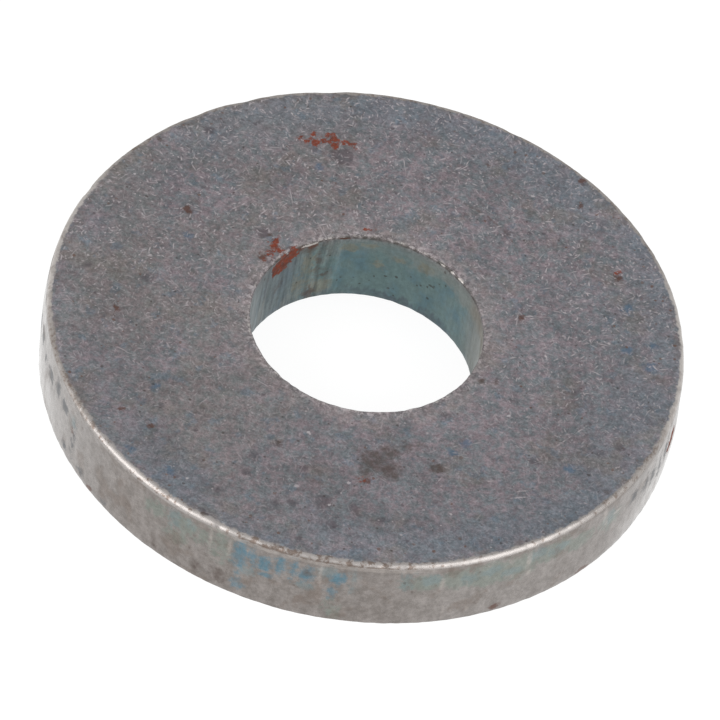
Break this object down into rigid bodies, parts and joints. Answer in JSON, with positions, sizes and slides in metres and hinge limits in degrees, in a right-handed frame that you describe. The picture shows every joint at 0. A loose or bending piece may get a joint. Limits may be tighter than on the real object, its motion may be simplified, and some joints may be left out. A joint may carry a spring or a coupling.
{
  "type": "flat washer",
  "caption": "Thick flat steel washer: a plain round ring with a central clearance hole that spreads a bolt's clamping load.",
  "frame": {"origin": "centre of the hole, on the lower bearing face", "axes": "+Z along the hole's axis, towards the upper face, whose rim has the rolled edge; X and Y across the ring, in any direction"},
  "size_m": [0.03, 0.03, 0.004],
  "materials": {
    "steel": "bare carbon steel with no coating, tumbled to a matt blue-grey and brown mottle, with bright worn edges and a few rust spots"
  },
  "bodies": {
    "root": {"washer": "steel"}
  },
  "joints": []
}
